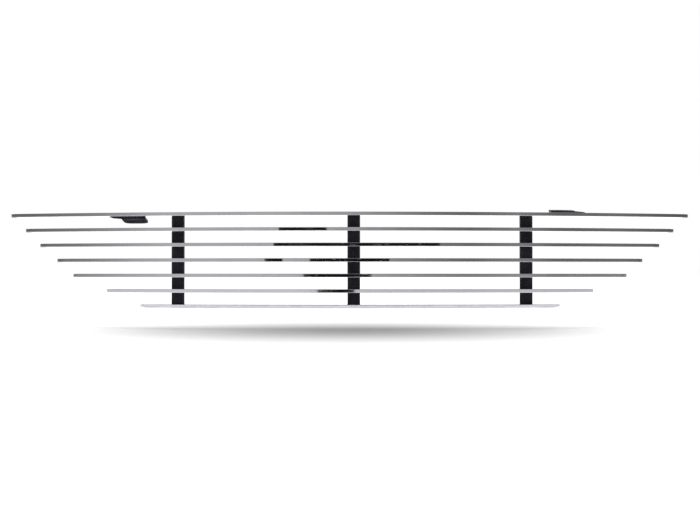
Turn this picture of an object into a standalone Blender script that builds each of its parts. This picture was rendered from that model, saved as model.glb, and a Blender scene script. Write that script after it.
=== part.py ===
"""Front grille: seven bowed bars screwed to three uprights, hung by two angle tabs.

The polished faces point to -Y, +Y runs back into the car, +X runs across it and +Z is up.
The origin is the middle of the footprint, level with the underside of the bottom bar.
Left and right are as seen from the front.  All lengths are in metres, all angles in radians.
"""

import math

import bmesh
import bpy
from mathutils import Matrix, Vector

# Air left between two pieces that touch.
GAP = 0.0003

# Bars, from the top one down.  Every bar lies on the same bow, its ends swept back.
BAR_NAMES = ("top_bar", "bar_2", "bar_3", "bar_4", "bar_5", "bar_6", "bottom_bar")
BAR_HALF_LENGTHS = (0.3855, 0.3675, 0.3500, 0.3295, 0.3105, 0.2715, 0.2330)
BAR_PITCH = 0.017
BAR_HEIGHT = 0.004
BAR_DEPTH = 0.012
BAR_EDGE = 0.0003
BAR_STEP = 0.018
BOW_RADIUS = 1.560

# Foremost point of the bars, in front of the origin by half the depth of the whole grille.
FRONT_Y = -0.0336

# Uprights: flat bars standing behind the row of bars, which sit in slots in their front face.
UPRIGHTS = {"upright_left": -0.1922, "upright_centre": 0.0038, "upright_right": 0.1966}
UPRIGHT_WIDTH = 0.014
UPRIGHT_LAP = 0.003
UPRIGHT_WEB = 0.003
UPRIGHT_CORNER = 0.003
UPRIGHT_END_INSET = 0.0004
CORNER_STEPS = 6

# Screws: small cap screws driven from behind into blind holes in the bars.
SHANK_RADIUS = 0.0010
HOLE_RADIUS = 0.00135
HEAD_RADIUS = 0.0019
HEAD_HEIGHT = 0.0016
HEAD_EDGE = 0.0003
SOCKET_RADIUS = 0.0009
SOCKET_DEPTH = 0.0009
SCREW_TIP = 0.0005
SCREW_BITE = 0.0055
ROUND_SIDES = 12

# Tabs: one angle of bent sheet, used twice, the right-hand one turned over.
TABS = {"mounting_tab_left": -0.2434, "mounting_tab_right": 0.2394}
TAB_SHEET = 0.0025
TAB_TOP = 0.0018
TAB_DROP = 0.0052
TAB_BEND_RADIUS = 0.0035
TAB_BEND_STEPS = 8
TAB_SLOPE = math.radians(5.0)
TAB_WIDTH = 0.028
TAB_REACH = 0.035
TAB_CORNER = 0.009
TAB_CORNER_STEPS = 8
TAB_SKEW = math.radians(13.5)
TAB_BAR_CLEARANCE = 0.0005
WING_OUTER = 0.0295
WING_KNEE = 0.0235
WING_INNER = 0.0130
WING_OUTER_DROP = 0.0018
WING_KNEE_DROP = 0.0037
WING_INNER_DROP = 0.0045
WING_INSET = 0.0001
SLOT_LENGTH = 0.014
SLOT_WIDTH = 0.007
SLOT_FROM_BAR = 0.0190
TAB_SCREW_OFFSETS = {"outer": -0.0215, "inner": 0.0060}

CUTTER_OVERSHOOT = 0.002
CREASE_ANGLE = math.radians(35.0)

BAR_REAR_RADIUS = BOW_RADIUS - BAR_DEPTH
BOW_CENTRE_Y = FRONT_Y + BOW_RADIUS
TOP_BAR_Z = BAR_HEIGHT / 2 + BAR_PITCH * (len(BAR_NAMES) - 1)

POLISHED = {"color": (0.86, 0.87, 0.89, 1.0), "roughness": 0.06, "metallic": 1.0}
POWDER_BLACK = {"color": (0.012, 0.012, 0.016, 1.0), "roughness": 0.42, "metallic": 0.0}
BLACK_OXIDE = {"color": (0.030, 0.030, 0.034, 1.0), "roughness": 0.38, "metallic": 0.8}


# ---------------------------------------------------------------- helpers


def clear_scene():
    for old in list(bpy.data.objects):
        bpy.data.objects.remove(old, do_unlink=True)


def bar_height(index):
    """Height of a bar's centre line, counted from the top bar."""
    return TOP_BAR_Z - BAR_PITCH * index


def bow_place(x, radius, z):
    """Matrix of a spot on the bow: local X along the bars, local Y straight back."""
    angle = math.asin(x / radius)
    spot = Vector((x, BOW_CENTRE_Y - radius * math.cos(angle), z))
    return Matrix.Translation(spot) @ Matrix.Rotation(angle, 4, "Z")


def add_object(name, mesh, place, parent):
    item = bpy.data.objects.new(name, mesh)
    bpy.context.collection.objects.link(item)
    item.parent = parent
    item.matrix_basis = place
    return item


def mesh_from(bm, name):
    bmesh.ops.recalc_face_normals(bm, faces=bm.faces)
    mesh = bpy.data.meshes.new(name)
    bm.to_mesh(mesh)
    bm.free()
    return mesh


def extrude_outline(bm, points, direction):
    """Close an outline into a face and extrude it into a solid; returns the new vertices."""
    start = [bm.verts.new(point) for point in points]
    face = bm.faces.new(start)
    grown = bmesh.ops.extrude_face_region(bm, geom=[face])
    end = [item for item in grown["geom"] if isinstance(item, bmesh.types.BMVert)]
    bmesh.ops.translate(bm, verts=end, vec=direction)
    return start + end


def round_sides(mesh):
    mesh.shade_smooth()
    mesh.set_sharp_from_angle(angle=CREASE_ANGLE)


def finish(item, look):
    """Give a piece its own material."""
    material = bpy.data.materials.new(item.name + "_finish")
    material.use_nodes = True
    shader = material.node_tree.nodes["Principled BSDF"]
    shader.inputs["Base Color"].default_value = look["color"]
    shader.inputs["Roughness"].default_value = look["roughness"]
    shader.inputs["Metallic"].default_value = look["metallic"]
    if not item.data.materials:
        item.data.materials.append(None)
    item.material_slots[0].link = "OBJECT"
    item.material_slots[0].material = material


def as_cutter(item):
    item.hide_render = True
    item.display_type = "WIRE"
    return item


def combine(target, cutter, operation):
    step = target.modifiers.new(cutter.name, "BOOLEAN")
    step.operation = operation
    step.solver = "EXACT"
    step.object = cutter


# ---------------------------------------------------------------- bars


def bar_profile():
    """Section of a bar, round from its rear face to its front: flat faces and eased edges."""
    half = BAR_HEIGHT / 2
    lower = [
        (BAR_DEPTH, -half + BAR_EDGE),
        (BAR_DEPTH - BAR_EDGE, -half),
        (BAR_EDGE, -half),
        (0.0, -half + BAR_EDGE),
    ]
    return lower + [(depth, -height) for depth, height in reversed(lower)]


def make_bar(name, half_length, z, parent):
    """Spin the section about the centre of the bow, from one end of the bar to the other."""
    bm = bmesh.new()
    reach = math.asin(half_length / BOW_RADIUS)
    to_centre = Matrix.Translation((0.0, BOW_RADIUS, 0.0))
    start = to_centre @ Matrix.Rotation(-reach, 4, "Z") @ to_centre.inverted()
    section = [bm.verts.new(start @ Vector((0.0, depth, height))) for depth, height in bar_profile()]
    first_end = bm.faces.new(section)
    steps = 2 * math.ceil(half_length / BAR_STEP)
    bmesh.ops.spin(
        bm, geom=[first_end], cent=(0.0, BOW_RADIUS, 0.0), axis=(0.0, 0.0, 1.0),
        angle=2 * reach, steps=steps, use_duplicate=False,
    )
    bar = add_object(name, mesh_from(bm, name), Matrix.Translation((0.0, FRONT_Y, z)), parent)
    round_sides(bar.data)
    finish(bar, POLISHED)
    return bar


# ---------------------------------------------------------------- uprights


def upright_outline():
    """Plan of an upright, its two front corners rounded.  Y = 0 is the bars' rear face."""
    half = UPRIGHT_WIDTH / 2
    points = [(half, UPRIGHT_WEB), (-half, UPRIGHT_WEB)]
    for side in (-1, 1):
        centre_x = side * (half - UPRIGHT_CORNER)
        centre_y = -UPRIGHT_LAP + UPRIGHT_CORNER
        first = math.pi if side < 0 else 1.5 * math.pi
        for step in range(CORNER_STEPS + 1):
            angle = first + step * 0.5 * math.pi / CORNER_STEPS
            points.append((
                centre_x + UPRIGHT_CORNER * math.cos(angle),
                centre_y + UPRIGHT_CORNER * math.sin(angle),
            ))
    return points


def make_upright_mesh():
    bm = bmesh.new()
    bottom = UPRIGHT_END_INSET
    top = TOP_BAR_Z + BAR_HEIGHT / 2 - UPRIGHT_END_INSET
    outline = [(x, y, bottom) for x, y in upright_outline()]
    extrude_outline(bm, outline, (0.0, 0.0, top - bottom))
    return mesh_from(bm, "upright")


def make_bar_slots_mesh():
    """One block for each slot that a bar sits in."""
    bm = bmesh.new()
    size = Vector((
        UPRIGHT_WIDTH + 2 * CUTTER_OVERSHOOT,
        UPRIGHT_LAP + GAP + CUTTER_OVERSHOOT,
        BAR_HEIGHT + 2 * GAP,
    ))
    for index in range(len(BAR_NAMES)):
        middle = Matrix.Translation((0.0, GAP - size.y / 2, bar_height(index)))
        bmesh.ops.create_cube(bm, size=1.0, matrix=middle @ Matrix.Diagonal((*size, 1.0)))
    return mesh_from(bm, "bar_slots")


# ---------------------------------------------------------------- screws


def spin_outline(bm, points, place=Matrix()):
    """Turn a half section of (radius, y) points about the local Y axis into a closed solid."""
    verts = [bm.verts.new((radius, y, 0.0)) for radius, y in points]
    edges = [bm.edges.new(pair) for pair in zip(verts, verts[1:])]
    before = set(bm.verts) - set(verts)
    bmesh.ops.spin(
        bm, geom=verts + edges, cent=(0.0, 0.0, 0.0), axis=(0.0, 1.0, 0.0),
        angle=2 * math.pi, steps=ROUND_SIDES, use_duplicate=False,
    )
    turned = [vert for vert in bm.verts if vert not in before]
    bmesh.ops.transform(bm, matrix=place, verts=turned)
    bmesh.ops.remove_doubles(bm, verts=turned, dist=1e-6)


def make_screw_mesh(name, length):
    """Cap screw with a round socket; its origin is under the head, its tip points to -Y."""
    bm = bmesh.new()
    spin_outline(bm, [
        (0.0, HEAD_HEIGHT - SOCKET_DEPTH),
        (SOCKET_RADIUS, HEAD_HEIGHT - SOCKET_DEPTH),
        (SOCKET_RADIUS, HEAD_HEIGHT),
        (HEAD_RADIUS - HEAD_EDGE, HEAD_HEIGHT),
        (HEAD_RADIUS, HEAD_HEIGHT - HEAD_EDGE),
        (HEAD_RADIUS, 0.0),
        (SHANK_RADIUS, 0.0),
        (SHANK_RADIUS, SCREW_TIP - length),
        (SHANK_RADIUS / 2, -length),
        (0.0, -length),
    ])
    mesh = mesh_from(bm, name)
    round_sides(mesh)
    return mesh


def upright_screw_places():
    """Where each screw's head seats: name, matrix and grip (what it passes before the bar)."""
    places = []
    for upright, x in UPRIGHTS.items():
        for index in range(len(BAR_NAMES)):
            seat = bow_place(x, BAR_REAR_RADIUS, bar_height(index))
            head = seat @ Matrix.Translation((0.0, UPRIGHT_WEB + GAP, 0.0))
            places.append((f"{upright}_screw_{index + 1}", head, UPRIGHT_WEB + GAP))
    return places


def tab_screw_places():
    places = []
    for tab, x in TABS.items():
        for spot, offset in TAB_SCREW_OFFSETS.items():
            head = tab_place(x) @ Matrix.Translation((offset, TAB_SHEET + GAP, 0.0))
            grip = TAB_SHEET + GAP + TAB_BAR_CLEARANCE
            places.append((f"{tab}_screw_{spot}", head, grip))
    return places


def make_hole_cutter(places, parent):
    """All the screw holes: through the upright or tab and blind in the bar."""
    bm = bmesh.new()
    for _, head, grip in places:
        far_end = -(grip + SCREW_BITE + GAP)
        outline = [(0.0, 0.0), (HOLE_RADIUS, 0.0), (HOLE_RADIUS, far_end), (0.0, far_end)]
        spin_outline(bm, outline, head)
    return as_cutter(add_object("screw_holes", mesh_from(bm, "screw_holes"), Matrix(), parent))


# ---------------------------------------------------------------- tabs


def tab_place(x):
    """Matrix of a tab behind the top bar; right of centre it is turned over."""
    place = bow_place(x, BAR_REAR_RADIUS, TOP_BAR_Z)
    place = place @ Matrix.Translation((0.0, TAB_BAR_CLEARANCE, 0.0))
    return place @ Matrix.Rotation(math.pi if x > 0 else 0.0, 4, "Y")


def tab_section():
    """Side section of the angle: down the back of the bar, round the bend, out along the shelf."""
    centre = Vector((TAB_BEND_RADIUS, TAB_BEND_RADIUS - TAB_DROP))
    turn = math.pi / 2 - TAB_SLOPE
    along_shelf = Vector((math.cos(TAB_SLOPE), -math.sin(TAB_SLOPE)))
    sides = []
    for radius, flange_y in ((TAB_BEND_RADIUS, 0.0), (TAB_BEND_RADIUS - TAB_SHEET, TAB_SHEET)):
        side = [Vector((flange_y, TAB_TOP))]
        for step in range(TAB_BEND_STEPS + 1):
            angle = math.pi + turn * step / TAB_BEND_STEPS
            side.append(centre + radius * Vector((math.cos(angle), math.sin(angle))))
        side.append(side[-1] + along_shelf * (TAB_REACH - side[-1].x) / along_shelf.x)
        sides.append(side)
    return sides[0] + sides[1][::-1]


def make_angle_mesh():
    """The angle itself, its shelf skewed outboard, with rounded rear corners."""
    bm = bmesh.new()
    half = TAB_WIDTH / 2
    outline = [(-half, point.x, point.y) for point in tab_section()]
    solid = extrude_outline(bm, outline, (TAB_WIDTH, 0.0, 0.0))
    rear = max(vert.co.y for vert in solid)
    corner_edges = [
        edge for edge in bm.edges
        if all(rear - vert.co.y < TAB_SHEET for vert in edge.verts)
        and abs(edge.verts[0].co.x - edge.verts[1].co.x) < GAP
    ]
    bmesh.ops.bevel(
        bm, geom=corner_edges, offset=TAB_CORNER, segments=TAB_CORNER_STEPS,
        profile=0.5, affect="EDGES",
    )
    for vert in bm.verts:
        vert.co.x -= vert.co.y * math.tan(TAB_SKEW)
    return mesh_from(bm, "angle_tab")


def make_wing_mesh():
    """The outboard end of the flange, tapering up behind the bar."""
    bm = bmesh.new()
    corners = [
        (-WING_OUTER, TAB_TOP - WING_INSET),
        (-WING_INNER, TAB_TOP - WING_INSET),
        (-WING_INNER, -WING_INNER_DROP),
        (-WING_KNEE, -WING_KNEE_DROP),
        (-WING_OUTER, -WING_OUTER_DROP),
    ]
    outline = [(x, WING_INSET, z) for x, z in corners]
    extrude_outline(bm, outline, (0.0, TAB_SHEET - 2 * WING_INSET, 0.0))
    return mesh_from(bm, "tab_wing")


def make_slot_mesh():
    """Upright block with round ends that cuts the adjusting slot in the shelf."""
    bm = bmesh.new()
    middle_x = -SLOT_FROM_BAR * math.tan(TAB_SKEW)
    radius = SLOT_WIDTH / 2
    outline = []
    for side in (1, -1):
        end_x = middle_x + side * (SLOT_LENGTH / 2 - radius)
        for step in range(ROUND_SIDES // 2 + 1):
            angle = side * math.pi * (step / (ROUND_SIDES // 2) - 0.5)
            outline.append((
                end_x + side * radius * math.cos(angle),
                SLOT_FROM_BAR + radius * math.sin(angle),
                -TAB_DROP - 2 * CUTTER_OVERSHOOT,
            ))
    extrude_outline(bm, outline, (0.0, 0.0, TAB_DROP + 2 * CUTTER_OVERSHOOT))
    return mesh_from(bm, "tab_slot")


# ---------------------------------------------------------------- assembly


def build():
    clear_scene()
    grille = bpy.data.objects.new("grille", None)
    bpy.context.collection.objects.link(grille)

    upright_screws = upright_screw_places()
    tab_screws = tab_screw_places()
    holes = make_hole_cutter(upright_screws + tab_screws, grille)

    for index, name in enumerate(BAR_NAMES):
        bar = make_bar(name, BAR_HALF_LENGTHS[index], bar_height(index), grille)
        combine(bar, holes, "DIFFERENCE")

    upright_mesh = make_upright_mesh()
    slots_mesh = make_bar_slots_mesh()
    for name, x in UPRIGHTS.items():
        place = bow_place(x, BAR_REAR_RADIUS, 0.0)
        upright = add_object(name, upright_mesh.copy(), place, grille)
        slots = as_cutter(add_object(name + "_bar_slots", slots_mesh, place, grille))
        combine(upright, slots, "DIFFERENCE")
        combine(upright, holes, "DIFFERENCE")
        round_sides(upright.data)
        finish(upright, POWDER_BLACK)

    angle_mesh = make_angle_mesh()
    wing_mesh = make_wing_mesh()
    slot_mesh = make_slot_mesh()
    for name, x in TABS.items():
        place = tab_place(x)
        tab = add_object(name, angle_mesh.copy(), place, grille)
        wing = as_cutter(add_object(name + "_wing", wing_mesh, place, grille))
        slot = as_cutter(add_object(name + "_slot", slot_mesh, place, grille))
        combine(tab, wing, "UNION")
        combine(tab, slot, "DIFFERENCE")
        combine(tab, holes, "DIFFERENCE")
        round_sides(tab.data)
        finish(tab, POWDER_BLACK)

    for screws in (upright_screws, tab_screws):
        grip = screws[0][2]
        screw_mesh = make_screw_mesh("screw", grip + SCREW_BITE)
        for name, place, _ in screws:
            finish(add_object(name, screw_mesh, place, grille), BLACK_OXIDE)


build()
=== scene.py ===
"""Front grille: finely made bars and screws, and finished uprights and tabs, in a pale studio.

Metres throughout.  The polished faces point to -Y, +X runs across the grille and +Z is up.
"""

import math

import bmesh
import bpy
from mathutils import Matrix, Vector


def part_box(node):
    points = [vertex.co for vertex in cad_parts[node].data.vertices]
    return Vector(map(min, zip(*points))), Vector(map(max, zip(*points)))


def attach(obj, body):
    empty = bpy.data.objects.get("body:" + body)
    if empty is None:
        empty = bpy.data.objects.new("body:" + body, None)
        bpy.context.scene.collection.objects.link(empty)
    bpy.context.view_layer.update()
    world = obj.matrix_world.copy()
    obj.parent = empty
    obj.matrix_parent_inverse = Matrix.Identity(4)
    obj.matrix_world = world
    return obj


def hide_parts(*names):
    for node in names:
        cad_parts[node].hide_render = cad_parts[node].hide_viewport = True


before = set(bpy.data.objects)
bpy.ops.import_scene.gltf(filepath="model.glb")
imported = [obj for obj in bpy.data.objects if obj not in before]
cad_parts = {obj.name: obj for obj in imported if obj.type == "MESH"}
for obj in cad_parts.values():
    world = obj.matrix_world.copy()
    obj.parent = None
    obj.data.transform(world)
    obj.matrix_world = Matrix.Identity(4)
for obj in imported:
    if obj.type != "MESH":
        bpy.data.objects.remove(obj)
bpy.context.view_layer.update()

# The bow that every bar follows, and the bars' section.
BOW_RADIUS = 1.560
BAR_DEPTH = 0.012
BAR_NAMES = ("top_bar", "bar_2", "bar_3", "bar_4", "bar_5", "bar_6", "bottom_bar")
BAR_EDGE = 0.0003
FLAT_MARGIN = 0.00008
END_EDGE = 0.0004
EDGE_STEPS = 6
SECTION_STEP = 0.004

# Screws.
GAP = 0.0003
HOLE_RADIUS = 0.00135
HOLE_SIDES = 24
SHANK_RADIUS = 0.0010
HEAD_RADIUS = 0.0019
HEAD_HEIGHT = 0.0016
HEAD_EDGE = 0.00025
SOCKET_RADIUS = 0.0009
SOCKET_DEPTH = 0.0009
KNURLS = 24
KNURL_DEPTH = 0.00006
HEAD_FOOT = 0.0001
CROWN_STEPS = 4
SOCKET_TIP = 0.0001
SOCKET_RIM = 0.00008
SOCKET_FLARE = 0.00018
THREAD_PITCH = 0.0004
THREAD_DEPTH = 0.00012
THREAD_START = 0.0003
THREAD_MARGIN = 0.0008
SHANK_TIP = 0.0003

UPRIGHTS = ("upright_left", "upright_centre", "upright_right")
TABS = ("mounting_tab_left", "mounting_tab_right")

# Edges sharper than a crease are shaded as edges.
CREASE = math.radians(40)
SCREW_CREASE = math.radians(28)

# The rounding of the uprights' and tabs' edges.
EASE_WIDTH = 0.00022
EASE_SEGMENTS = 3
SAME_PLACE = 0.000001
FLAT_WITHIN = math.radians(1.0)

FRONT_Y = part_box("top_bar")[0].y
BOW_CENTRE_Y = FRONT_Y + BOW_RADIUS
FLOOR_Z = -0.024


# ---------------------------------------------------------------- mesh helpers


def arc(centre, radius, first, last, steps):
    """Points on an arc, angles in quarter turns."""
    points = []
    for step in range(steps + 1):
        angle = (first + (last - first) * step / steps) * math.pi / 2
        points.append((centre[0] + radius * math.cos(angle), centre[1] + radius * math.sin(angle)))
    return points


def object_from(bm, name):
    bmesh.ops.recalc_face_normals(bm, faces=bm.faces)
    mesh = bpy.data.meshes.new(name)
    bm.to_mesh(mesh)
    bm.free()
    mesh.shade_smooth()
    item = bpy.data.objects.new(name, mesh)
    bpy.context.scene.collection.objects.link(item)
    return item


def skin(bm, rings):
    """Join closed rings of points into a tube, and close its two ends."""
    rows = [[bm.verts.new(point) for point in ring] for ring in rings]
    count = len(rows[0])
    for row, following in zip(rows, rows[1:]):
        for i in range(count):
            j = (i + 1) % count
            bm.faces.new((row[i], row[j], following[j], following[i]))
    bm.faces.new(rows[0])
    bm.faces.new(rows[-1])


def keep_flats_flat(item):
    item.data.set_sharp_from_angle(angle=CREASE)
    step = item.modifiers.new("flat_normals", "WEIGHTED_NORMAL")
    step.keep_sharp = True
    step.weight = 100


# ---------------------------------------------------------------- materials


def add_node(tree, kind, settings=None, **inputs):
    """Add a node; an input is a value, or a socket to link from."""
    item = tree.nodes.new("ShaderNode" + kind)
    for name, value in (settings or {}).items():
        setattr(item, name, value)
    for name, value in inputs.items():
        socket = item.inputs[name.replace("_", " ")]
        if isinstance(value, bpy.types.NodeSocket):
            tree.links.new(value, socket)
        else:
            socket.default_value = value
    return item


def new_material(name, **values):
    material = bpy.data.materials.new(name)
    material.use_nodes = True
    tree = material.node_tree
    shader = tree.nodes["Principled BSDF"]
    for key, value in values.items():
        shader.inputs[key.replace("_", " ")].default_value = value
    return material, tree, shader


def place_node(tree, scale=(1.0, 1.0, 1.0)):
    """Where a point is on the object, stretched to suit what is drawn there."""
    where = add_node(tree, "TexCoord").outputs["Object"]
    return add_node(tree, "Mapping", Vector=where, Scale=scale).outputs["Vector"]


def noise(tree, where, scale, detail=3.0, roughness=0.5):
    item = add_node(tree, "TexNoise", Vector=where, Scale=scale, Detail=detail, Roughness=roughness)
    return item.outputs["Fac"]


def ramp(tree, value, low, high, to_low, to_high, shape="SMOOTHSTEP"):
    """to_low where the value is low, to_high where it is high, and a slope between."""
    item = add_node(tree, "MapRange", {"interpolation_type": shape}, Value=value)
    for name, number in (("From Min", low), ("From Max", high), ("To Min", to_low), ("To Max", to_high)):
        item.inputs[name].default_value = number
    return item.outputs["Result"]


def blend_colours(tree, factor, first, second):
    item = add_node(tree, "Mix", {"data_type": "RGBA"})
    tree.links.new(factor, item.inputs[0])
    for socket, value in ((item.inputs[6], first), (item.inputs[7], second)):
        if isinstance(value, bpy.types.NodeSocket):
            tree.links.new(value, socket)
        else:
            socket.default_value = value
    return item.outputs[2]


def combine_values(tree, operation, first, second):
    item = tree.nodes.new("ShaderNodeMath")
    item.operation = operation
    for socket, value in zip(item.inputs, (first, second)):
        if isinstance(value, bpy.types.NodeSocket):
            tree.links.new(value, socket)
        else:
            socket.default_value = value
    return item.outputs[0]


def polished_aluminium():
    """Mirror polish: fine lines left by the wheel along the bar, faint smudges, stray scratches."""
    material, tree, shader = new_material("polished_aluminium", Metallic=1.0)
    along = place_node(tree, (0.02, 1.0, 1.0))
    everywhere = place_node(tree)
    lines = noise(tree, along, 5200.0, detail=4.0, roughness=0.6)
    smudges = noise(tree, everywhere, 34.0, detail=5.0, roughness=0.62)
    slanted = add_node(tree, "Mapping", Vector=everywhere, Rotation=(0.5, 0.3, 0.2), Scale=(0.06, 1.0, 1.0))
    scratches = ramp(tree, noise(tree, slanted.outputs["Vector"], 1500.0, detail=1.0), 0.70, 0.74, 0.0, 1.0)

    polish = ramp(tree, smudges, 0.40, 0.72, 0.018, 0.060)
    lined = combine_values(tree, "MULTIPLY_ADD", lines, 0.020)
    tree.links.new(polish, lined.node.inputs[2])
    rough = combine_values(tree, "MULTIPLY_ADD", scratches, 0.12)
    tree.links.new(lined, rough.node.inputs[2])
    tree.links.new(rough, shader.inputs["Roughness"])

    tone = ramp(tree, smudges, 0.35, 0.70, 0.0, 1.0)
    colour = blend_colours(tree, tone, (0.900, 0.902, 0.925, 1), (0.845, 0.850, 0.880, 1))
    worn = blend_colours(tree, scratches, colour, (0.78, 0.78, 0.80, 1))
    tree.links.new(worn, shader.inputs["Base Color"])

    fine = add_node(tree, "Bump", Height=lines, Strength=0.10, Distance=0.000004)
    cut = add_node(tree, "Bump", {"invert": True}, Height=scratches, Strength=0.25, Distance=0.00001)
    tree.links.new(fine.outputs["Normal"], cut.inputs["Normal"])
    tree.links.new(cut.outputs["Normal"], shader.inputs["Normal"])
    return material


def black_powder_coat():
    """Semi-gloss black powder: orange peel, fine grains, thinner and brighter along the edges."""
    material, tree, shader = new_material("black_powder_coat", IOR=1.42, Specular_IOR_Level=0.20)
    everywhere = place_node(tree)
    peel = noise(tree, everywhere, 900.0, detail=2.0)
    grains = noise(tree, everywhere, 5200.0, detail=2.0)
    patches = noise(tree, everywhere, 60.0, detail=4.0, roughness=0.6)
    speck = ramp(tree, grains, 0.66, 0.74, 0.0, 1.0)
    edge = ramp(tree, add_node(tree, "NewGeometry").outputs["Pointiness"], 0.52, 0.60, 0.0, 1.0)
    rubbed = combine_values(tree, "MULTIPLY", edge, ramp(tree, patches, 0.40, 0.65, 0.15, 1.0))

    tone = ramp(tree, patches, 0.30, 0.70, 0.0, 1.0)
    base = blend_colours(tree, tone, (0.0030, 0.0029, 0.0062, 1), (0.0062, 0.0060, 0.0110, 1))
    flecked = blend_colours(tree, speck, base, (0.014, 0.014, 0.020, 1))
    final = blend_colours(tree, rubbed, flecked, (0.040, 0.040, 0.052, 1))
    tree.links.new(final, shader.inputs["Base Color"])

    matt = ramp(tree, patches, 0.30, 0.70, 0.36, 0.50)
    rough = combine_values(tree, "MULTIPLY_ADD", speck, 0.10)
    tree.links.new(matt, rough.node.inputs[2])
    tree.links.new(rough, shader.inputs["Roughness"])

    wavy = add_node(tree, "Bump", Height=peel, Strength=0.35, Distance=0.00006)
    gritty = add_node(tree, "Bump", Height=grains, Strength=0.25, Distance=0.00002)
    tree.links.new(wavy.outputs["Normal"], gritty.inputs["Normal"])
    tree.links.new(gritty.outputs["Normal"], shader.inputs["Normal"])
    return material


def black_oxide_steel():
    """Blackened screw steel: mottled, with bare steel showing where a key has rubbed."""
    material, tree, shader = new_material("black_oxide_steel", Metallic=0.85)
    everywhere = place_node(tree)
    mottle = noise(tree, everywhere, 1400.0, detail=5.0, roughness=0.65)
    edge = ramp(tree, add_node(tree, "NewGeometry").outputs["Pointiness"], 0.53, 0.62, 0.0, 0.8)
    tone = ramp(tree, mottle, 0.35, 0.65, 0.0, 1.0)
    base = blend_colours(tree, tone, (0.022, 0.022, 0.026, 1), (0.055, 0.052, 0.056, 1))
    tree.links.new(blend_colours(tree, edge, base, (0.24, 0.24, 0.25, 1)), shader.inputs["Base Color"])
    tree.links.new(ramp(tree, mottle, 0.30, 0.70, 0.30, 0.48), shader.inputs["Roughness"])
    pitted = add_node(tree, "Bump", Height=mottle, Strength=0.3, Distance=0.00002)
    tree.links.new(pitted.outputs["Normal"], shader.inputs["Normal"])
    return material


# ---------------------------------------------------------------- bars


def bar_section(height, inset):
    """(depth, height) points round a bar's section, drawn in by inset towards its middle.

    Each corner is an arc, with a point on the flat just before it and one just after it."""
    half = height / 2
    middle = BAR_DEPTH / 2
    points = []
    for quarter, along, up in ((2, -1, 1), (1, 1, 1), (0, 1, -1), (-1, -1, -1)):
        centre = (middle + along * (middle - BAR_EDGE), up * (half - BAR_EDGE))
        corner = [Vector(point) for point in arc(centre, BAR_EDGE, quarter, quarter - 1, EDGE_STEPS)]
        margins = [Vector((0.0, -up * FLAT_MARGIN)), Vector((-along * FLAT_MARGIN, 0.0))]
        if along != -up:
            margins.reverse()
        points += [corner[0] + margins[0], *corner, corner[-1] + margins[1]]
    shrink_depth = 1 - inset / middle
    shrink_height = 1 - inset / half
    return [(middle + (depth - middle) * shrink_depth, z * shrink_height) for depth, z in points]


def make_bar(name, holes, finish):
    """A bar swept along the bow between the ends of its CAD solid.

    Known fault: each tip's ring joins the first full section, and the end's other rings
    fold back over it, because the end rings run from the full section to the tip."""
    low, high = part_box(name)
    reach = math.asin(high.x / BOW_RADIUS)
    height = high.z - low.z
    z = (high.z + low.z) / 2
    end_steps = EDGE_STEPS // 2
    end_rings = []
    for step in reversed(range(end_steps + 1)):
        turn = step / end_steps * math.pi / 2
        end_rings.append((END_EDGE * (1 - math.cos(turn)), END_EDGE * (1 - math.sin(turn))))
    first = reach - END_EDGE / BOW_RADIUS
    steps = math.ceil(2 * high.x / SECTION_STEP)
    places = [(-reach + back / BOW_RADIUS, inset) for back, inset in end_rings]
    places += [(-first + 2 * first * step / steps, 0.0) for step in range(1, steps)]
    places += [(reach - back / BOW_RADIUS, inset) for back, inset in reversed(end_rings)]
    rings = []
    for angle, inset in places:
        turn = Matrix.Translation((0.0, BOW_CENTRE_Y, z)) @ Matrix.Rotation(angle, 4, "Z")
        ring = [turn @ Vector((0.0, depth - BOW_RADIUS, up)) for depth, up in bar_section(height, inset)]
        rings.append(ring)
    bm = bmesh.new()
    skin(bm, rings)
    bar = object_from(bm, "polished_" + name)
    cut = bar.modifiers.new("screw_holes", "BOOLEAN")
    cut.operation = "DIFFERENCE"
    cut.solver = "EXACT"
    cut.object = holes
    keep_flats_flat(bar)
    dress(bar, finish, "polished_aluminium", name)


# ---------------------------------------------------------------- screws


def turned(bm, outline, sides, place, radius_at=None):
    """Turn (radius, y) points about local Y; both ends of the outline lie on the axis."""
    rings = []
    for radius, y in outline[1:-1]:
        ring = []
        for side in range(sides):
            angle = 2 * math.pi * side / sides
            reach = radius_at(radius, y, side) if radius_at else radius
            ring.append(place @ Vector((reach * math.cos(angle), y, reach * math.sin(angle))))
        rings.append(ring)
    rows = [[bm.verts.new(point) for point in ring] for ring in rings]
    for row, following in zip(rows, rows[1:]):
        for i in range(sides):
            j = (i + 1) % sides
            bm.faces.new((row[i], row[j], following[j], following[i]))
    for row, (_, y) in ((rows[0], outline[0]), (rows[-1], outline[-1])):
        tip = bm.verts.new(place @ Vector((0.0, y, 0.0)))
        for i in range(sides):
            bm.faces.new((row[i], row[(i + 1) % sides], tip))


def hexagon(radius, side):
    """Radius of a hexagon of that inner radius, at one of 2 * KNURLS directions."""
    angle = (2 * math.pi * side / (2 * KNURLS)) % (math.pi / 3) - math.pi / 6
    return radius / math.cos(angle)


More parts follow.
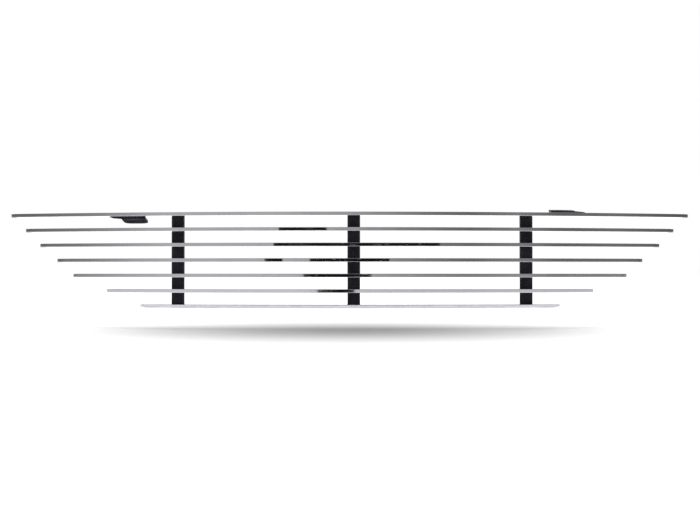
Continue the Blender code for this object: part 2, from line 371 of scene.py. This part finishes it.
def screw_mesh(length):
    """Cap screw: knurled head with a hexagon socket, turned shank with thread ridges."""
    crown = arc((HEAD_RADIUS - HEAD_EDGE, HEAD_HEIGHT - HEAD_EDGE), HEAD_EDGE, 1, 0, CROWN_STEPS)
    socket_floor = HEAD_HEIGHT - SOCKET_DEPTH
    outline = [(0.0, socket_floor - SOCKET_TIP), (SOCKET_RADIUS, socket_floor)]
    outline += [(SOCKET_RADIUS, HEAD_HEIGHT - SOCKET_RIM), (SOCKET_RADIUS + SOCKET_FLARE, HEAD_HEIGHT)]
    outline += crown + [(HEAD_RADIUS, HEAD_FOOT), (HEAD_RADIUS - HEAD_FOOT, 0.0), (SHANK_RADIUS, 0.0)]
    root = SHANK_RADIUS - THREAD_DEPTH
    for turn in range(int((length - THREAD_MARGIN) / THREAD_PITCH)):
        y = -THREAD_START - turn * THREAD_PITCH
        outline += [(SHANK_RADIUS, y), (root, y - THREAD_PITCH / 2)]
    outline += [(root, -length + SHANK_TIP), (SHANK_RADIUS / 2, -length), (0.0, -length)]

    def radius_at(radius, y, side):
        if y > 0 and radius == SOCKET_RADIUS:
            return hexagon(radius, side)
        if y > 0 and radius == HEAD_RADIUS:
            return radius - (side % 2) * KNURL_DEPTH
        return radius

    bm = bmesh.new()
    turned(bm, outline, 2 * KNURLS, Matrix(), radius_at)
    bmesh.ops.recalc_face_normals(bm, faces=bm.faces)
    mesh = bpy.data.meshes.new("cap_screw")
    bm.to_mesh(mesh)
    bm.free()
    mesh.shade_smooth()
    mesh.set_sharp_from_angle(angle=SCREW_CREASE)
    return mesh


def screw_place(name):
    """Matrix of a screw's seat, and its length under the head, from its CAD solid."""
    spots = {tuple(round(value, 7) for value in vert.co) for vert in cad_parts[name].data.vertices}
    points = [Vector(spot) for spot in spots]
    middle = sum(point.y for point in points) / len(points)
    ends = []
    for part in ([p for p in points if p.y > middle], [p for p in points if p.y <= middle]):
        ends.append(sum(part, Vector()) / len(part))
    axis = (ends[0] - ends[1]).normalized()
    rear = max(point.dot(axis) for point in points)
    length = rear - min(point.dot(axis) for point in points) - HEAD_HEIGHT
    seat = ends[0] + axis * (rear - HEAD_HEIGHT - ends[0].dot(axis))
    turn = Matrix.Rotation(math.atan2(-axis.x, axis.y), 4, "Z")
    return Matrix.Translation(seat) @ turn, length


def hole_cutter(places):
    """All the screw holes in one cutter, each as long as its screw."""
    bm = bmesh.new()
    for place, length in places:
        outline = [(0.0, 0.0), (HOLE_RADIUS, 0.0), (HOLE_RADIUS, -length - GAP), (0.0, -length - GAP)]
        turned(bm, outline, HOLE_SIDES, place)
    cutter = object_from(bm, "screw_holes")
    cutter.hide_render = True
    cutter.hide_viewport = True
    return cutter


# ---------------------------------------------------------------- finishing


def dress(item, finish, slot, *nodes):
    """Give a piece its finish; it stands for the nodes named."""
    item.data.materials.clear()
    item.data.materials.append(finish)
    if nodes:
        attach(item, "root")
        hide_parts(*nodes)


def ease_edges(item):
    """Round off a CAD solid's edges, and keep its flats flat."""
    weld = item.modifiers.new("weld", "WELD")
    weld.merge_threshold = SAME_PLACE
    flat = item.modifiers.new("flat_faces", "DECIMATE")
    flat.decimate_type = "DISSOLVE"
    flat.angle_limit = FLAT_WITHIN
    bevel = item.modifiers.new("eased_edges", "BEVEL")
    bevel.width = EASE_WIDTH
    bevel.segments = EASE_SEGMENTS
    bevel.limit_method = "ANGLE"
    bevel.angle_limit = CREASE
    item.data.shade_smooth()
    step = item.modifiers.new("flat_normals", "WEIGHTED_NORMAL")
    step.weight = 100


# ---------------------------------------------------------------- studio


def panel(name, corners, material):
    mesh = bpy.data.meshes.new(name)
    mesh.from_pydata(corners, [], [(0, 1, 2, 3)])
    mesh.materials.append(material)
    item = bpy.data.objects.new(name, mesh)
    bpy.context.scene.collection.objects.link(item)
    return item


def card(name, corners, material):
    """A glowing panel that shows in reflections only."""
    item = panel(name, corners, material)
    item.visible_camera = False
    item.visible_diffuse = False
    item.visible_shadow = False


def upright_rectangle(left, right, low, high, y):
    return [(left, y, low), (right, y, low), (right, y, high), (left, y, high)]


def level_rectangle(left, right, near, far, z):
    return [(left, near, z), (right, near, z), (right, far, z), (left, far, z)]


def glowing(name):
    material = bpy.data.materials.new(name)
    material.use_nodes = True
    tree = material.node_tree
    tree.nodes.remove(tree.nodes["Principled BSDF"])
    glow = tree.nodes.new("ShaderNodeEmission")
    tree.links.new(glow.outputs[0], tree.nodes["Material Output"].inputs["Surface"])
    return material, tree, glow


# Greys of the cards are very slightly blue.
BLUER = 1.03

# The room behind the camera, as the polished faces see it.
ROOM_Y = -1.60
ROOM_HALF_WIDTH = 4.0
ROOM_TOP = 2.6
ROOM_BOTTOM = FLOOR_Z - 0.05
# (place across, grey)
ROOM_GREYS = (
    (-4.0, 0.10), (-1.9, 0.14), (-1.45, 0.22), (-0.95, 0.44), (-0.35, 0.42), (0.05, 0.33),
    (0.35, 0.20), (0.60, 0.14), (0.85, 0.22), (1.10, 0.13), (1.50, 0.16), (1.95, 0.10), (4.0, 0.08),
)
ROOM_LOW_GREY = 0.66
ROOM_LOW_TOP = 0.060
ROOM_LOW_BOTTOM = -0.040

CEILING_END_Y = -0.30
CEILING_COLOUR = (0.15, 0.15, 0.16, 1)

# A strip just over the floor, in front of the grille, that the bottom bar reflects: (y, grey).
LOW_CARD_Z = FLOOR_Z + 0.001
STREAK_GREYS = ((-1.20, 0.08), (-1.00, 0.12), (-0.94, 0.80), (-0.86, 0.92), (-0.81, 0.55), (-0.70, 0.60))

# A black card lying behind the grille, which keeps the tabs' undersides dark.
BLACK_COLOUR = (0.006, 0.006, 0.008, 1)
FLAG_X = 0.60
FLAG_Y = (0.16, 1.30)

# The dark outline of a camera on its stand: (left, right, low, high).
STAND_Y = -1.19
STAND_PARTS = (
    (-0.270, -0.085, 0.121, 0.150),
    (-0.290, 0.352, 0.087, 0.121),
    (-0.325, -0.255, 0.053, 0.087),
    (-0.150, 0.155, 0.053, 0.087),
    (-0.175, 0.085, 0.019, 0.053),
    (-0.120, 0.022, -0.015, 0.019),
)


def grey_steps(tree, place, steps):
    """A colour that runs through the steps' greys as place goes from 0 to 1."""
    greys = tree.nodes.new("ShaderNodeValToRGB")
    tree.links.new(place, greys.inputs["Fac"])
    stops = greys.color_ramp.elements
    while len(stops) < len(steps):
        stops.new(0.5)
    first, last = steps[0][0], steps[-1][0]
    for stop, (at, grey) in zip(stops, steps):
        stop.position = (at - first) / (last - first)
        stop.color = (grey, grey, grey * BLUER, 1.0)
    return greys.outputs["Color"]


def build_room():
    """The dim wall and ceiling of the room."""
    material, tree, glow = glowing("dim_room")
    parts = add_node(tree, "SeparateXYZ", Vector=add_node(tree, "TexCoord").outputs["Object"])
    left, right = -ROOM_HALF_WIDTH, ROOM_HALF_WIDTH
    across = ramp(tree, parts.outputs["X"], left, right, 0.0, 1.0, "LINEAR")
    greys = grey_steps(tree, across, ROOM_GREYS)
    low = ramp(tree, parts.outputs["Z"], ROOM_LOW_BOTTOM, ROOM_LOW_TOP, 1.0, 0.0)
    lit = (ROOM_LOW_GREY, ROOM_LOW_GREY, ROOM_LOW_GREY * BLUER, 1.0)
    tree.links.new(blend_colours(tree, low, greys, lit), glow.inputs["Color"])
    card("room_wall", upright_rectangle(left, right, ROOM_BOTTOM, ROOM_TOP, ROOM_Y), material)

    material, _, glow = glowing("dim_ceiling")
    glow.inputs["Color"].default_value = CEILING_COLOUR
    card("room_ceiling", level_rectangle(left, right, ROOM_Y, CEILING_END_Y, ROOM_TOP), material)


def build_streak():
    """The strip over the floor that shades the bottom bar."""
    material, tree, glow = glowing("low_streak")
    parts = add_node(tree, "SeparateXYZ", Vector=add_node(tree, "TexCoord").outputs["Object"])
    near, far = STREAK_GREYS[0][0], STREAK_GREYS[-1][0]
    along = ramp(tree, parts.outputs["Y"], near, far, 0.0, 1.0, "LINEAR")
    tree.links.new(grey_steps(tree, along, STREAK_GREYS), glow.inputs["Color"])
    corners = level_rectangle(-ROOM_HALF_WIDTH, ROOM_HALF_WIDTH, near, far, LOW_CARD_Z)
    card("low_streak", corners, material)


def build_black_cards():
    """The black card behind the grille, and the dark outline in front of it."""
    material, _, glow = glowing("black_card")
    glow.inputs["Color"].default_value = BLACK_COLOUR
    card("rear_flag", level_rectangle(-FLAG_X, FLAG_X, *FLAG_Y, LOW_CARD_Z), material)
    for number, (left, right, low, high) in enumerate(STAND_PARTS):
        card(f"stand_part_{number}", upright_rectangle(left, right, low, high, STAND_Y), material)


# The painted shadow under the grille, a soft grey patch in the floor's colour: its middle, half sizes and
# tone.
PAINTED_SHADOW_Y = -0.045
PAINTED_SHADOW_SIZE = (0.44, 0.36)
PAINTED_SHADOW_GREY = 0.30
FLOOR_HALF_SIZE = 40.0


def build_floor():
    material, tree, shader = new_material("pale_floor_painted_shadow", Roughness=0.9)
    shader.inputs["Specular IOR Level"].default_value = 0.1
    clouds = noise(tree, place_node(tree), 1.5, detail=2.0)
    tone = ramp(tree, clouds, 0.3, 0.7, 0.0, 1.0)
    pale = blend_colours(tree, tone, (0.90, 0.90, 0.91, 1), (0.91, 0.91, 0.92, 1))
    # Painted shadow: the floor's colour darkens in a soft ellipse under the grille, a shadow that the
    # grille does not cast.
    spread = add_node(tree, "Mapping", Vector=add_node(tree, "TexCoord").outputs["Object"])
    spread.inputs["Location"].default_value = (0.0, -PAINTED_SHADOW_Y / PAINTED_SHADOW_SIZE[1], 0.0)
    spread.inputs["Scale"].default_value = (1 / PAINTED_SHADOW_SIZE[0], 1 / PAINTED_SHADOW_SIZE[1], 0.0)
    reach = add_node(tree, "VectorMath", {"operation": "LENGTH"}, Vector=spread.outputs["Vector"])
    shade = ramp(tree, reach.outputs["Value"], 0.0, 1.0, 1.0, 0.0)
    shaded = blend_colours(tree, shade, pale, (PAINTED_SHADOW_GREY, PAINTED_SHADOW_GREY, PAINTED_SHADOW_GREY, 1))
    tree.links.new(shaded, shader.inputs["Base Color"])
    half = FLOOR_HALF_SIZE
    floor = panel("floor", level_rectangle(-half, half, -half, half, FLOOR_Z), material)


# The sky's strength: as the camera sees it, as it lights the scene, and as it is reflected.
SKY_SEEN = 1.0
SKY_LIGHT = 1.2
SKY_REFLECTED = 0.6

LAMP_ENERGY = 1.2
LAMP_SPREAD = math.radians(50)
LAMP_LEAN = math.radians(8)


def build_light():
    world = bpy.data.worlds.new("pale_studio")
    bpy.context.scene.world = world
    world.use_nodes = True
    tree = world.node_tree
    backdrop = tree.nodes["Background"]
    backdrop.inputs["Color"].default_value = (1.0, 1.0, 1.0, 1.0)
    ray = tree.nodes.new("ShaderNodeLightPath")
    plain = ramp(tree, ray.outputs["Is Camera Ray"], 0.0, 1.0, SKY_LIGHT, SKY_SEEN)
    dimmed = ramp(tree, ray.outputs["Is Glossy Ray"], 0.0, 1.0, 0.0, SKY_LIGHT - SKY_REFLECTED)
    strength = combine_values(tree, "SUBTRACT", plain, dimmed)
    tree.links.new(strength, backdrop.inputs["Strength"])

    lamp = bpy.data.lights.new("overhead_softbox", "SUN")
    lamp.energy = LAMP_ENERGY
    lamp.angle = LAMP_SPREAD
    softbox = bpy.data.objects.new("overhead_softbox", lamp)
    softbox.rotation_euler = (LAMP_LEAN, 0.0, 0.0)
    softbox.visible_glossy = False
    bpy.context.scene.collection.objects.link(softbox)
    bpy.context.scene.view_settings.view_transform = "Standard"


CAMERA_X = -0.0056
CAMERA_Z = 0.0362
CAMERA_DISTANCE = 1.15
CAMERA_TILT = 0.0122
CAMERA_TURN = -0.0045
SENSOR_WIDTH = 36.0
FOCAL_LENGTH = 54.14
CLIP_START = 0.01


def build_camera():
    lens = bpy.data.cameras.new("camera")
    lens.sensor_width = SENSOR_WIDTH
    lens.lens = FOCAL_LENGTH
    lens.clip_start = CLIP_START
    camera = bpy.data.objects.new("camera", lens)
    camera.location = (CAMERA_X, FRONT_Y - CAMERA_DISTANCE, CAMERA_Z)
    camera.rotation_euler = (math.pi / 2 + CAMERA_TILT, 0.0, CAMERA_TURN)
    bpy.context.scene.collection.objects.link(camera)
    bpy.context.scene.camera = camera


# ---------------------------------------------------------------- assembly


def build():
    aluminium = polished_aluminium()
    powder = black_powder_coat()
    oxide = black_oxide_steel()

    places = {name: screw_place(name) for name in sorted(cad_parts) if "_screw_" in name}
    holes = hole_cutter(places.values())
    for name in BAR_NAMES:
        make_bar(name, holes, aluminium)

    meshes = {}
    for name, (place, length) in places.items():
        size = round(length, 4)
        if size not in meshes:
            meshes[size] = screw_mesh(size)
        screw = bpy.data.objects.new("cap_" + name, meshes[size])
        bpy.context.scene.collection.objects.link(screw)
        screw.matrix_world = place
        dress(screw, oxide, "black_oxide_steel", name)

    for name in UPRIGHTS + TABS:
        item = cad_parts[name]
        ease_edges(item)
        dress(item, powder, "black_powder_coat")

    build_room()
    build_streak()
    build_black_cards()
    build_floor()
    build_light()
    build_camera()


build()
